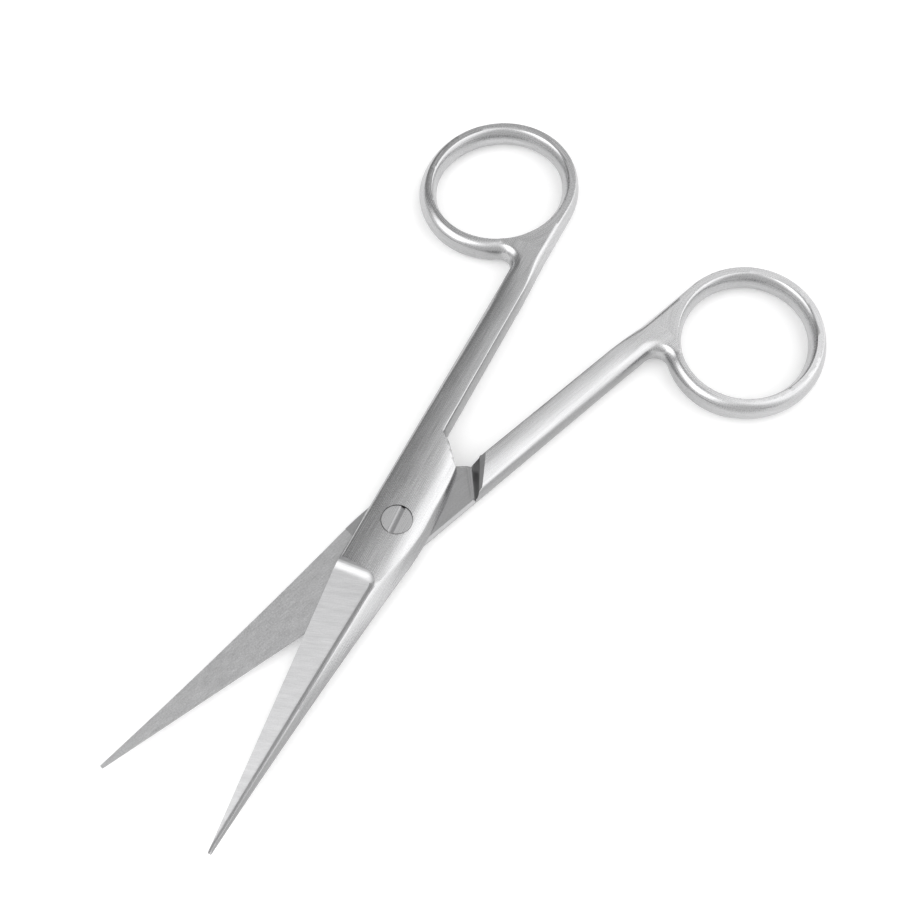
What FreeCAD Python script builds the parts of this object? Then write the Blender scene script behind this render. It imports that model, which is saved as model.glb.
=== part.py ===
import FreeCAD, Part
import math
import os

import Sketcher
from FreeCAD import Vector

# Straight operating scissors with a screw joint, about 140 mm long when closed.
# Each half is drawn in its own frame: the pivot axis is Z, +X runs along the half towards
# the ring, +Y is the side on which the ring bulges, and the outer face is up at z = thick.
# The upper half is then turned by half of the opening. The lower half is the same forging
# turned over about its length, and turned the other way.
# The assembly's origin is the pivot axis where it meets the table, +Z is up, and +X runs
# along the bisector of the two halves towards the rings.

SIZES = [
    ("opening", 21.0, "angle between the halves at rest, degrees"),
    ("thick", 4.6, "thickness of shank, joint and ring"),
    ("lap_gap", 0.04, "clearance between the two lapped faces"),
    ("blade_reach", 58.9, "pivot to tip"),
    ("tip_half", 0.45, "half width of the blunted tip"),
    ("cut_root", 11.0, "pivot to the root of the cutting edge"),
    ("cut_half", 5.45, "pivot line to the cutting edge at its root"),
    ("back_root", 8.0, "pivot to where the blade's back meets the joint"),
    ("back_half", 5.0, "pivot line to the blade's back there"),
    ("back_radius", 1100.0, "slight hollow of the blade's back"),
    ("crown_root", 9.0, "pivot to where the blade starts to thin"),
    ("tip_thick", 0.8, "thickness of the blade at its tip"),
    ("shoulder_angle", 37.0, "turn of the shoulder's normal from the length, degrees"),
    ("shoulder_reach", 12.6, "pivot to the shoulder's foot, along its normal"),
    ("shoulder_lean", 33.0, "lean of the shoulder from upright, degrees"),
    ("shoulder_gap", 0.5, "gap at the shoulder when the tips meet"),
    ("corner_half", 4.2, "pivot line to the joint plate's corner"),
    ("shank_inner", 0.3, "pivot line to the shank's inner side"),
    ("shank_outer", 5.05, "pivot line to the shank's outer side at the ring"),
    ("ring_reach", 66.1, "pivot to the ring's centre along the half"),
    ("hole_long", 11.5, "long radius of the finger hole"),
    ("hole_short", 10.6, "short radius of the finger hole"),
    ("ring_wall", 3.05, "width of the ring's section"),
    ("ring_turn", 25.0, "turn of the ring's long axis, degrees"),
    ("crotch_round", 2.2, "radius between shank and ring"),
    ("edge_round", 1.0, "rounding of the outer edges"),
    ("hole_round", 1.2, "rounding of the finger hole's edges"),
    ("back_round", 0.7, "rounding of the blade's back and of the joint"),
    ("edge_thick", 0.35, "blade thickness left at the cutting edge"),
    ("facet_tilt", 12.0, "slope of the ground facet, degrees"),
    ("facet_root", 1.1, "how far the facet runs past the cutting edge's root"),
    ("facet_wide", 8.1, "width of the facet at its root"),
    ("facet_narrow", 0.6, "width of the facet at the tip"),
    ("facet_corner", 2.4, "corner radius of the facet's rounded end"),
    ("facet_bevel", 2.0, "how far the facet's end slants back at the cutting edge"),
    ("facet_bevel_corner", 1.2, "corner radius there"),
    ("head_radius", 2.5, "radius of the screw's head"),
    ("head_depth", 1.1, "depth of the screw's head"),
    ("shaft_radius", 1.5, "radius of the screw's shaft"),
    ("pivot_gap", 0.03, "radial clearance round the screw"),
    ("slot_width", 0.9, "width of the screw's slot"),
    ("slot_depth", 0.6, "depth of the screw's slot"),
    ("slot_turn", 13.6, "turn of the slot from the bisector, degrees"),
    ("cut_margin", 2.0, "how far cutters run past the surfaces that they cut"),
]

doc = FreeCAD.newDocument("operating_scissors")
sizes = doc.addObject("Spreadsheet::Sheet", "sizes")
for row, (name, figure, meaning) in enumerate(SIZES, start=1):
    sizes.set(f"A{row}", name)
    sizes.set(f"B{row}", str(figure))
    sizes.setAlias(f"B{row}", name)
    sizes.set(f"C{row}", meaning)
doc.recompute()

# Lengths that follow from the sizes, as expressions that the sketches and features share.
LAP = "(sizes.thick + sizes.lap_gap) / 2"
LAP_END = "(sizes.shoulder_reach - sizes.shoulder_gap)"
END_REACH = f"({LAP_END} + (sizes.thick - {LAP}) * tan(sizes.shoulder_lean))"
RING_LONG = "(sizes.hole_long + sizes.ring_wall)"
RING_SHORT = "(sizes.hole_short + sizes.ring_wall)"
HALF_HEIGHT = (f"sqrt(({RING_LONG} * sin(sizes.ring_turn)) ^ 2"
               f" + ({RING_SHORT} * cos(sizes.ring_turn)) ^ 2)")
RING_SIDE = f"(sizes.shank_inner + {HALF_HEIGHT})"
RING_TOUCH = (f"(sizes.ring_reach + ({RING_LONG} ^ 2 - {RING_SHORT} ^ 2)"
              f" * sin(sizes.ring_turn) * cos(sizes.ring_turn) / {HALF_HEIGHT})")
EDGE_RISE = "(sizes.cut_half - sizes.tip_half)"
EDGE_RUN = "(sizes.blade_reach - sizes.cut_root)"
EDGE_LENGTH = f"sqrt({EDGE_RISE} ^ 2 + {EDGE_RUN} ^ 2)"

CORNER_X = (f"({END_REACH} - sizes.corner_half * sin(sizes.shoulder_angle))"
            " / cos(sizes.shoulder_angle)")
INNER_X = (f"({END_REACH} + sizes.shank_inner * sin(sizes.shoulder_angle))"
           " / cos(sizes.shoulder_angle)")
UNDERCUT = (f"({END_REACH} * sin(sizes.shoulder_angle) + sizes.shank_inner)"
            " / cos(sizes.shoulder_angle)")

# How near counts as the same place, and how finely a first guess is stepped round the ring.
TOUCHING = 1e-4
GUESS_STEP = math.radians(1)
FULL_TURN = 360

# The sketcher's own numbers for the ends of an edge, its centre and the origin.
START, END, CENTRE = range(1, 4)
ORIGIN_POINT = (-1, 1)


def number(expression):
    """The present value of an expression of the sizes."""
    return float(sizes.evalExpression(expression))


def plane(body, role):
    """One of the body's own origin planes."""
    return [item for item in body.Origin.OriginFeatures if item.Role == role][0]


def new_sketch(body, name, role, offset=None):
    """A sketch on an origin plane of the body, moved by an optional placement expression."""
    sketch = body.newObject("Sketcher::SketchObject", name)
    sketch.AttachmentSupport = [(plane(body, role), "")]
    sketch.MapMode = "FlatFace"
    if offset:
        sketch.setExpression("AttachmentOffset", offset)
    return sketch


def bind(sketch, kind, *where, to):
    """Adds a dimension whose value is an expression of the sizes."""
    index = sketch.addConstraint(Sketcher.Constraint(kind, *where, number(to)))
    sketch.setExpression(f"Constraints[{index}]", to)


def pin(sketch, geometry, end, across, along):
    """Holds a point of the sketch at two expressions, or at one where the other is None."""
    if across is not None:
        bind(sketch, "DistanceX", *ORIGIN_POINT, geometry, end, to=across)
    if along is not None:
        bind(sketch, "DistanceY", *ORIGIN_POINT, geometry, end, to=along)


def line(sketch, start, end):
    """A straight edge between two points given as numbers."""
    return sketch.addGeometry(Part.LineSegment(Vector(*start, 0), Vector(*end, 0)))


def join(sketch, first, second):
    """The end of one edge meets the start of the next."""
    sketch.addConstraint(Sketcher.Constraint("Coincident", first, END, second, START))


def polygon(sketch, corners):
    """A closed outline; a corner is two expressions, and a third one is its radius."""
    spots = [(number(corner[0]), number(corner[1])) for corner in corners]
    count = len(corners)
    sides = [line(sketch, spots[k], spots[(k + 1) % count]) for k in range(count)]
    for k, corner in enumerate(corners):
        before = sides[k - 1]
        after = sides[k]
        if len(corner) == 2:
            join(sketch, before, after)
            pin(sketch, after, START, corner[0], corner[1])
            continue
        here = Vector(*spots[k], 0)
        back = (Vector(*spots[k - 1], 0) - here).normalize()
        ahead = (Vector(*spots[(k + 1) % count], 0) - here).normalize()
        radius = number(corner[2])
        half_turn = back.getAngle(ahead) / 2
        reach = radius / math.tan(half_turn)
        centre = here + (back + ahead).normalize() * (radius / math.sin(half_turn))
        middle = here + (centre - here) * (1 - radius / (centre - here).Length)
        arc = sketch.addGeometry(Part.Arc(here + back * reach, middle, here + ahead * reach))
        point = sketch.addGeometry(Part.Point(here), True)
        near_start = sketch.getPoint(arc, START).distanceToPoint(here + back * reach)
        near_end = sketch.getPoint(arc, END).distanceToPoint(here + back * reach)
        first, last = (START, END) if near_start < near_end else (END, START)
        pin(sketch, point, START, corner[0], corner[1])
        sketch.addConstraint(Sketcher.Constraint("PointOnObject", point, START, before))
        sketch.addConstraint(Sketcher.Constraint("PointOnObject", point, START, after))
        sketch.addConstraint(Sketcher.Constraint("Tangent", before, END, arc, first))
        sketch.addConstraint(Sketcher.Constraint("Tangent", after, START, arc, last))
        bind(sketch, "Radius", arc, to=corner[2])


def shape_ellipse(sketch, curve, long_radius, short_radius):
    """Sizes an ellipse or its arc, and turns its long axis by minus the ring's turn."""
    first_axis = sketch.GeometryCount
    sketch.exposeInternalGeometry(curve)
    bind(sketch, "Distance", first_axis, to=f"2 * {long_radius}")
    bind(sketch, "Distance", first_axis + 1, to=f"2 * {short_radius}")
    centre = sketch.getPoint(curve, CENTRE)
    start_is_ahead = sketch.getPoint(first_axis, START).x > centre.x
    turn = "180 - sizes.ring_turn" if start_is_ahead else "-sizes.ring_turn"
    bind(sketch, "Angle", first_axis, to=turn)


def ellipse_at(long_radius, short_radius):
    """The ring's ellipse as numbers, centred on the ring."""
    centre = Vector(number("sizes.ring_reach"), number(RING_SIDE), 0)
    turn = math.radians(-number("sizes.ring_turn"))
    ahead = Vector(math.cos(turn), math.sin(turn), 0)
    aside = Vector(-math.sin(turn), math.cos(turn), 0)
    return Part.Ellipse(centre + ahead * number(long_radius), centre + aside * number(short_radius),
                        centre)


def edges_where(feature, test):
    """Names of the edges of a feature's shape that pass a test."""
    return [f"Edge{k}" for k, edge in enumerate(feature.Shape.Edges, start=1) if test(edge)]


def pad(body, sketch, name, length):
    """Adds material above a sketch."""
    feature = body.newObject("PartDesign::Pad", name)
    feature.Profile = sketch
    feature.setExpression("Length", length)
    sketch.Visibility = False
    doc.recompute()
    return feature


def pocket(body, sketch, name, length, midplane=False, upwards=False):
    """Removes material below a sketch, above it or on both sides, and proves that it did."""
    before = body.Shape.Volume
    feature = body.newObject("PartDesign::Pocket", name)
    feature.Profile = sketch
    feature.Midplane = midplane
    feature.Reversed = upwards
    feature.setExpression("Length", length)
    doc.recompute()
    if not body.Shape.Volume < before:
        raise ValueError(f"{name} cuts nothing")
    return feature


def fillet(body, name, radius, test):
    """Rounds the edges of the body's last feature that pass a test."""
    base = body.Tip
    feature = body.newObject("PartDesign::Fillet", name)
    feature.Base = (base, edges_where(base, test))
    feature.setExpression("Radius", radius)
    doc.recompute()
    return feature


def draw_plan(sketch):
    """The forged blank from above: blade before its edge is ground, joint, shank and ring."""
    reach = number("sizes.blade_reach")
    tip = number("sizes.tip_half")
    back = Vector(-number("sizes.back_root"), -number("sizes.back_half"), 0)
    corner = Vector(number(CORNER_X), -number("sizes.corner_half"), 0)
    inner = number("sizes.shank_inner")
    ring = ellipse_at(RING_LONG, RING_SHORT)
    side = number("sizes.shank_outer")
    turn = math.radians(number("sizes.ring_turn"))
    lowest = math.atan2(-number(RING_SHORT) * math.cos(turn), -number(RING_LONG) * math.sin(turn))
    lowest = lowest + 2 * math.pi if lowest < 0 else lowest
    touch = ring.value(lowest)
    crotch = lowest
    while ring.value(crotch).y < side or ring.value(crotch).x > ring.Center.x:
        crotch -= GUESS_STEP
    arc = Part.ArcOfEllipse(ring, lowest, crotch + 2 * math.pi)

    side_half = number("sizes.cut_half")
    tip_end = line(sketch, (-reach, side_half), (-reach, -tip))
    chord = Vector(-reach, -tip, 0) - back
    middle = back + chord / 2
    hollow = number("sizes.back_radius")
    sag = hollow - math.sqrt(hollow ** 2 - (chord.Length / 2) ** 2)
    middle.y += sag
    back_edge = sketch.addGeometry(Part.Arc(back, middle, Vector(-reach, -tip, 0)))
    belly = (back + corner) / 2
    belly.y = min(back.y, corner.y) - number("sizes.tip_half")
    joint_edge = sketch.addGeometry(Part.Arc(back, belly, corner))
    end_edge = line(sketch, (corner.x, corner.y), (number(INNER_X), inner))
    inner_edge = line(sketch, (number(INNER_X), inner), (touch.x, inner))
    ring_edge = sketch.addGeometry(arc)
    outer_edge = line(sketch, (ring.value(crotch).x, side),
                      (-number("sizes.cut_root"), side_half))
    blade_side = line(sketch, (-number("sizes.cut_root"), side_half), (-reach, side_half))

    shape_ellipse(sketch, ring_edge, RING_LONG, RING_SHORT)
    pin(sketch, ring_edge, CENTRE, "sizes.ring_reach", RING_SIDE)
    pin(sketch, ring_edge, START, RING_TOUCH, None)
    pin(sketch, tip_end, START, "-sizes.blade_reach", "sizes.cut_half")
    pin(sketch, tip_end, END, "-sizes.blade_reach", "-sizes.tip_half")
    sketch.addConstraint(Sketcher.Constraint("Coincident", tip_end, END, back_edge, END))
    pin(sketch, back_edge, START, "-sizes.back_root", "-sizes.back_half")
    bind(sketch, "Radius", back_edge, to="sizes.back_radius")
    sketch.addConstraint(Sketcher.Constraint("Tangent", back_edge, START, joint_edge, START))
    join(sketch, joint_edge, end_edge)
    pin(sketch, end_edge, START, CORNER_X, "-sizes.corner_half")
    join(sketch, end_edge, inner_edge)
    pin(sketch, inner_edge, START, INNER_X, "sizes.shank_inner")
    join(sketch, inner_edge, ring_edge)
    join(sketch, ring_edge, outer_edge)
    pin(sketch, outer_edge, START, None, "sizes.shank_outer")
    join(sketch, outer_edge, blade_side)
    pin(sketch, blade_side, START, "-sizes.cut_root", "sizes.cut_half")
    join(sketch, blade_side, tip_end)


def draw_crown(sketch):
    """Side view of what is ground off the blade's outer face, which thins towards the tip."""
    root = -number("sizes.crown_root")
    top = number("sizes.thick")
    tip = -number("sizes.blade_reach")
    tip_z = number(f"{LAP} + sizes.tip_thick")
    past = number("sizes.cut_margin")
    drop = top - tip_z
    radius = ((root - tip) ** 2 + drop ** 2) / (2 * drop)
    circle = Part.Circle(Vector(root, top - radius, 0), Vector(0, 0, 1), radius)
    sweep = math.asin((root - tip) / radius)
    crown = sketch.addGeometry(Part.ArcOfCircle(circle, math.pi / 2, math.pi / 2 + sweep))
    below = line(sketch, (tip, tip_z), (tip - past, tip_z))
    ahead = line(sketch, (tip - past, tip_z), (tip - past, top + past))
    above = line(sketch, (tip - past, top + past), (root, top + past))
    behind = line(sketch, (root, top + past), (root, top))
    pin(sketch, crown, START, "-sizes.crown_root", "sizes.thick")
    pin(sketch, crown, END, "-sizes.blade_reach", f"{LAP} + sizes.tip_thick")
    pin(sketch, crown, CENTRE, "-sizes.crown_root", None)
    join(sketch, crown, below)
    join(sketch, below, ahead)
    pin(sketch, ahead, START, "-sizes.blade_reach - sizes.cut_margin",
        f"{LAP} + sizes.tip_thick")
    join(sketch, ahead, above)
    pin(sketch, above, START, "-sizes.blade_reach - sizes.cut_margin",
        "sizes.thick + sizes.cut_margin")
    join(sketch, above, behind)
    pin(sketch, behind, START, "-sizes.crown_root", "sizes.thick + sizes.cut_margin")
    join(sketch, behind, crown)


def draw_circle(sketch, radius):
    """A circle round the pivot."""
    circle = sketch.addGeometry(Part.Circle(Vector(0, 0, 0), Vector(0, 0, 1), number(radius)))
    pin(sketch, circle, CENTRE, "0", "0")
    bind(sketch, "Radius", circle, to=radius)


def draw_hole(sketch):
    """The finger hole, on the ring's own centre."""
    curve = sketch.addGeometry(ellipse_at("sizes.hole_long", "sizes.hole_short"))
    shape_ellipse(sketch, curve, "sizes.hole_long", "sizes.hole_short")
    pin(sketch, curve, CENTRE, "sizes.ring_reach", RING_SIDE)


def halfway(edge):
    """The point in the middle of an edge."""
    return edge.valueAt((edge.FirstParameter + edge.LastParameter) / 2)


def on_face(point):
    """Whether a point lies on the outer face or on the face opposite it."""
    return min(abs(point.z), abs(point.z - number("sizes.thick"))) < TOUCHING


def is_crotch(edge):
    """The upright edge where the shank's outer side runs into the ring."""
    first, last = edge.Vertexes[0].Point, edge.Vertexes[-1].Point
    upright = (first - last).cross(Vector(0, 0, 1)).Length < TOUCHING
    at_side = abs(first.y - number("sizes.shank_outer")) < TOUCHING
    return upright and at_side and first.x > 0


def is_grip_edge(edge):
    """The outer edges of the shank and the ring, above and below."""
    point = halfway(edge)
    return on_face(point) and point.x > 0 and point.y > number("sizes.shank_inner") - TOUCHING


def is_back_edge(edge):
    """The outer edges of the joint's and the blade's back."""
    point = halfway(edge)
    first, last = edge.Vertexes[0].Point, edge.Vertexes[-1].Point
    raised = min(first.z, last.z) > number(LAP)
    outside = point.y < -number("sizes.tip_half") and point.x < number(CORNER_X)
    along = abs(first.x - last.x) > number("sizes.tip_half")
    return raised and outside and along


def is_hole_edge(edge):
    """The edges of the finger hole, above and below."""
    point = halfway(edge)
    centre = Vector(number("sizes.ring_reach"), number(RING_SIDE), point.z)
    return on_face(point) and (point - centre).Length < number("sizes.hole_long") + TOUCHING


def forge_half(name):
    """One half up to its screw hole, in its own frame."""
    body = doc.addObject("PartDesign::Body", name)
    body.Label = name
    plan = new_sketch(body, f"{name}_plan", "XY_Plane")
    draw_plan(plan)
    pad(body, plan, f"{name}_blank", "sizes.thick")
    fillet(body, f"{name}_crotch", "sizes.crotch_round", is_crotch)
    fillet(body, f"{name}_grip_edges", "sizes.edge_round", is_grip_edge)
    fillet(body, f"{name}_back_edges", "sizes.back_round", is_back_edge)

    crown = new_sketch(body, f"{name}_crown", "XZ_Plane")
    draw_crown(crown)
    pocket(body, crown, f"{name}_thinning", "2 * (sizes.cut_half + sizes.cut_margin)",
           midplane=True)

    edge = new_sketch(body, f"{name}_edge", "XY_Plane")
    polygon(edge, [("-sizes.cut_root", "sizes.cut_half"),
                   ("-sizes.blade_reach", "sizes.tip_half"),
                   ("-sizes.blade_reach - sizes.cut_margin", "sizes.tip_half"),
                   ("-sizes.blade_reach - sizes.cut_margin", "sizes.cut_half + sizes.cut_margin"),
                   ("-sizes.cut_root", "sizes.cut_half + sizes.cut_margin")])
    pocket(body, edge, f"{name}_edge_grinding", "sizes.thick", upwards=True)

    hole = new_sketch(body, f"{name}_hole", "XY_Plane")
    draw_hole(hole)
    pocket(body, hole, f"{name}_finger_hole", "sizes.thick", upwards=True)
    fillet(body, f"{name}_hole_edges", "sizes.hole_round", is_hole_edge)

    lap = new_sketch(body, f"{name}_lap", "XZ_Plane", turned_upright("sizes.shoulder_angle"))
    far = "-(sizes.blade_reach + sizes.cut_margin)"
    foot = f"sizes.shoulder_reach + ({LAP} + sizes.cut_margin) * tan(sizes.shoulder_lean)"
    polygon(lap, [(far, "-sizes.cut_margin"), (foot, "-sizes.cut_margin"),
                  ("sizes.shoulder_reach", LAP), (far, LAP)])
    pocket(body, lap, f"{name}_lap_joint", "2 * (sizes.blade_reach + sizes.cut_margin)",
           midplane=True)

    lip = new_sketch(body, f"{name}_lip", "XZ_Plane", turned_upright("-sizes.shoulder_angle"))
    lip_top = f"{END_REACH} + sizes.cut_margin * tan(sizes.shoulder_lean)"
    lip_far = f"{lip_top} + sizes.cut_margin"
    lip_foot = f"{LAP_END} - 2 * sizes.lap_gap * tan(sizes.shoulder_lean)"
    lip_floor = f"{LAP} - 2 * sizes.lap_gap"
    polygon(lip, [(lip_foot, lip_floor), (lip_far, lip_floor),
                  (lip_far, "sizes.thick + sizes.cut_margin"),
                  (lip_top, "sizes.thick + sizes.cut_margin")])
    pocket(body, lip, f"{name}_undercut", UNDERCUT)

    edge_turn = f"180 deg + atan({EDGE_RISE} / {EDGE_RUN})"
    edge_root = f"vector(-sizes.cut_root; sizes.cut_half; {LAP} + sizes.edge_thick)"
    facet = new_sketch(body, f"{name}_facet", "XY_Plane",
                       f"placement({edge_root}; rotation({edge_turn}; 0; sizes.facet_tilt))")
    past_tip = f"{EDGE_LENGTH} + sizes.cut_margin"
    polygon(facet, [("sizes.facet_bevel - sizes.facet_root", "-sizes.cut_margin"),
                    (past_tip, "-sizes.cut_margin"),
                    (past_tip, "sizes.facet_narrow"),
                    ("-sizes.facet_root", "sizes.facet_wide", "sizes.facet_corner"),
                    ("-sizes.facet_root", "sizes.facet_bevel", "sizes.facet_bevel_corner")])
    pocket(body, facet, f"{name}_ground_facet", "sizes.thick", upwards=True)

    bore = new_sketch(body, f"{name}_bore", "XY_Plane")
    draw_circle(bore, "sizes.shaft_radius + sizes.pivot_gap")
    pocket(body, bore, f"{name}_screw_hole", "sizes.thick", upwards=True)
    return body


def turned_upright(angle):
    """A placement of an upright sketch, turned about the pivot axis."""
    return f"placement(vector(0; 0; 0); rotation(vector(0; 1; 0); {angle}))"


def make_upper_half():
    """The half on top, which takes the screw's head in a counterbore."""
    body = forge_half("upper_half")
    seat = new_sketch(body, "upper_half_seat", "XY_Plane",
                      "placement(vector(0; 0; sizes.thick); rotation(0; 0; 0))")
    draw_circle(seat, "sizes.head_radius + sizes.pivot_gap")
    pocket(body, seat, "upper_half_counterbore", "sizes.head_depth")
    body.setExpression("Placement",
                       "placement(vector(0; 0; 0); rotation(sizes.opening / 2; 0; 0))")
    return body


def make_lower_half():
    """The half underneath, turned over, whose plain hole stands for the threaded one."""
    body = forge_half("lower_half")
    body.setExpression("Placement",
                       "placement(vector(0; 0; sizes.thick); rotation(-sizes.opening / 2; 0; 180))")
    return body


def make_pivot_screw():
    """The slotted screw, flush with the joint above and below."""
    body = doc.addObject("PartDesign::Body", "pivot_screw")
    body.Label = "pivot_screw"
    profile = new_sketch(body, "screw_profile", "XZ_Plane")
    polygon(profile, [("0", "0"),
                      ("sizes.shaft_radius", "0"),
                      ("sizes.shaft_radius", "sizes.thick - sizes.head_depth"),
                      ("sizes.head_radius", "sizes.thick - sizes.head_depth"),
                      ("sizes.head_radius", "sizes.thick"),
                      ("0", "sizes.thick")])
    turned = body.newObject("PartDesign::Revolution", "screw_turning")
    turned.Profile = profile
    turned.ReferenceAxis = (profile, ["V_Axis"])
    turned.Angle = FULL_TURN
    doc.recompute()

    slot = new_sketch(body, "screw_slot", "XY_Plane",
                      "placement(vector(0; 0; sizes.thick); rotation(sizes.slot_turn; 0; 0))")
    length = "sizes.head_radius + sizes.cut_margin"
    width = "sizes.slot_width / 2"
    polygon(slot, [(f"-({length})", f"-{width}"), (length, f"-{width}"),
                   (length, width), (f"-({length})", width)])
    pocket(body, slot, "screw_driver_slot", "sizes.slot_depth")
    return body


pieces = [make_upper_half(), make_lower_half(), make_pivot_screw()]
doc.recompute()

for item in doc.Objects:
    if {"Invalid", "Error"} & set(item.State):
        raise ValueError(f"{item.Label} failed: {item.State}")
for piece in pieces:
    if piece.Shape.isNull() or not piece.Shape.isValid() or len(piece.Shape.Solids) != 1:
        raise ValueError(f"{piece.Label} has no valid solid")

os.makedirs("parts", exist_ok=True)
for piece in pieces:
    piece.Shape.exportStep(f"parts/{piece.Label}.step")
    box = piece.Shape.BoundBox
    print(f"{piece.Label}: {piece.Shape.Volume:.1f} mm3, z {box.ZMin:.2f} to {box.ZMax:.2f}")
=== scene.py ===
# %% [markdown]
# # Operating scissors, dressed for a studio photograph
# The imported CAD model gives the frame: two forged halves and the screw that joins them.
# Every piece below is made in that frame, in millimetres, and turned into metres at the end.
# The halves are replaced, because the real forgings have crowned faces, soft edges and
# ground surfaces that a plain solid doesn't show.

# %% The frame
import math

import bmesh
import bpy
import numpy as np
from mathutils import Matrix, Vector
from mathutils.geometry import delaunay_2d_cdt


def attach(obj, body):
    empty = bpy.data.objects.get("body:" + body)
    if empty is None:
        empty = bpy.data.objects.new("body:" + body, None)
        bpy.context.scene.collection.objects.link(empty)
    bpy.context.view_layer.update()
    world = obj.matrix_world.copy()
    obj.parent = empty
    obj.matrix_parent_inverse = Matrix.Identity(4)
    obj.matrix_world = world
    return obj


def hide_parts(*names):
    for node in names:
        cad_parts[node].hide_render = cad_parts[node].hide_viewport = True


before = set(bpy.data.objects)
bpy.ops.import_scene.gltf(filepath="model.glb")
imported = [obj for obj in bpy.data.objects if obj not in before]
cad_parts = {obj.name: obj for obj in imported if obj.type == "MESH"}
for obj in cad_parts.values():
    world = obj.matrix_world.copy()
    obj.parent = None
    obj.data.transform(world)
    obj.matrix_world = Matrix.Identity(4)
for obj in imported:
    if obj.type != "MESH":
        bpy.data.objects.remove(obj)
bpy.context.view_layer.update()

# %% [markdown]
# ## The half's own drawing frame
# Both halves are one forging, so it is drawn once. u runs from the pivot towards the ring,
# v towards the side on which the ring bulges, and z from the table up. The upper half is
# turned by half the opening. The lower half is the same shape turned over. Pairs below are
# places (u, v) in that drawing, unless their name says radii.

# %% Sizes of the forging, in millimetres
MM = 0.001
HALF_OPENING = math.radians(10.5)
THICK = 4.6
MIDDLE = THICK / 2
LAP = 2.32

TIP_U, TIP_HALF = -58.9, 0.28
CUT_ROOT = (-11.0, 5.45)
BACK_ROOT = (-8.0, -5.0)
BACK_RADIUS = 1100.0
JOINT_BELLY = (1.0, -5.5)
PLATE_CORNER = (14.8, -4.1)
PLATE_CROTCH = (18.0, 0.3)
SHANK_INNER = 0.3
SHANK_OUTER, SHANK_END = 5.05, 55.7
CROTCH_RADIUS = 2.2

RING_CENTRE = (66.1, 14.115)
RING_TURN = math.radians(-25)
RING_RADII = (14.55, 13.65)
HOLE_CENTRE = (66.1, 14.05)
HOLE_RADII = (11.55, 10.65)

SLOT_TURN = math.radians(13.6)
OUTLINE_STEP = 0.4
FACE_STEP = 0.55
print("tip to pivot", -TIP_U, "mm, pivot to ring centre", RING_CENTRE[0], "mm, thickness", THICK)


# %% A soft step, and the stretches of u over which the form changes
INTO_JOINT, INTO_CORNER = (-16, 1), (4, 14)
INTO_SHANK, ALONG_SHANK = (7, 24), (14, 46)
INTO_RING, FULL_RING = (47, 56), (50, 56)
CROWN_ENDS, SIDE_FADES = (44, 54), (44, 56)


def smooth(value, low, high):
    """0 below low, 1 above high, and an even S between them."""
    share = np.clip((np.asarray(value, float) - low) / (high - low), 0, 1)
    return share * share * (3 - 2 * share)


print("half way up the soft step:", float(smooth(0.5, 0, 1)))

# %% [markdown]
# ## The outline, side by side
# Seen from above, a half is one long curve. It could be a single Bezier curve, but a chain of
# named sides is easier to measure, and each side can carry its own edge rounding. The pieces
# are straight lines, arcs through three places and a turned ellipse.

# %% Curves of the plan
def straight(start, end):
    """Points along a straight side, the first one included and the last one not."""
    start, end = np.array(start, float), np.array(end, float)
    count = max(2, round(np.linalg.norm(end - start) / OUTLINE_STEP))
    return start + (end - start) * (np.arange(count) / count)[:, None]


def through(start, middle, end):
    """Points along the arc through three places, without the last one."""
    (ax, ay), (bx, by), (cx, cy) = start, middle, end
    matrix = np.array([[ax - bx, ay - by], [bx - cx, by - cy]]) * 2
    right = [ax**2 - bx**2 + ay**2 - by**2, bx**2 - cx**2 + by**2 - cy**2]
    centre = np.linalg.solve(matrix, right)
    radius = np.linalg.norm(centre - start)
    first, last = (math.atan2(y - centre[1], x - centre[0]) for x, y in (start, end))
    turn = (last - first + math.pi) % (2 * math.pi) - math.pi
    count = max(4, round(abs(turn) * radius / OUTLINE_STEP))
    angle = first + turn * np.arange(count) / count
    return centre + radius * np.stack([np.cos(angle), np.sin(angle)], 1)


def on_ellipse(centre, radii, angle):
    """Points of an ellipse turned by RING_TURN, at angles counted from its long axis."""
    along, across = radii[0] * np.cos(angle), radii[1] * np.sin(angle)
    c, s = math.cos(RING_TURN), math.sin(RING_TURN)
    return np.stack([centre[0] + along * c - across * s, centre[1] + along * s + across * c], -1)


def ring_normal(angle):
    """The outward direction of the ring's outer edge."""
    along, across = RING_RADII[1] * np.cos(angle), RING_RADII[0] * np.sin(angle)
    c, s = math.cos(RING_TURN), math.sin(RING_TURN)
    normal = np.stack([along * c - across * s, along * s + across * c], -1)
    return normal / np.linalg.norm(normal, axis=-1, keepdims=True)


print("ring's widest outward:", np.round(ring_normal(0.0), 3))

# %% [markdown]
# ## The crotch between shank and ring
# Where the ring leaves the shank, a small arc fills the outer corner and touches both the
# shank's straight side and the ring's ellipse. Its centre is found by halving: the place on
# the ellipse from which an arc of the right size just reaches the side.

# %% The arc that touches shank and ring
def outer_side(u):
    """v of the shank's outer side before the crotch."""
    root_u, root_v = CUT_ROOT
    return root_v + (SHANK_OUTER - root_v) * (u - root_u) / (SHANK_END - root_u)


def find(test, low, high):
    """The place between low and high where a rising test crosses zero."""
    for _ in range(60):
        middle = (low + high) / 2
        low, high = (middle, high) if test(middle) < 0 else (low, middle)
    return (low + high) / 2


lowest = math.atan2(-RING_RADII[1] * math.cos(RING_TURN), -RING_RADII[0] * math.sin(RING_TURN))


def above_side(angle):
    """How far the crotch arc's centre, on the ring's side, is off the shank's side."""
    centre = on_ellipse(RING_CENTRE, RING_RADII, angle) + CROTCH_RADIUS * ring_normal(angle)
    return -(centre[1] - outer_side(centre[0]) - CROTCH_RADIUS)


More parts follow.
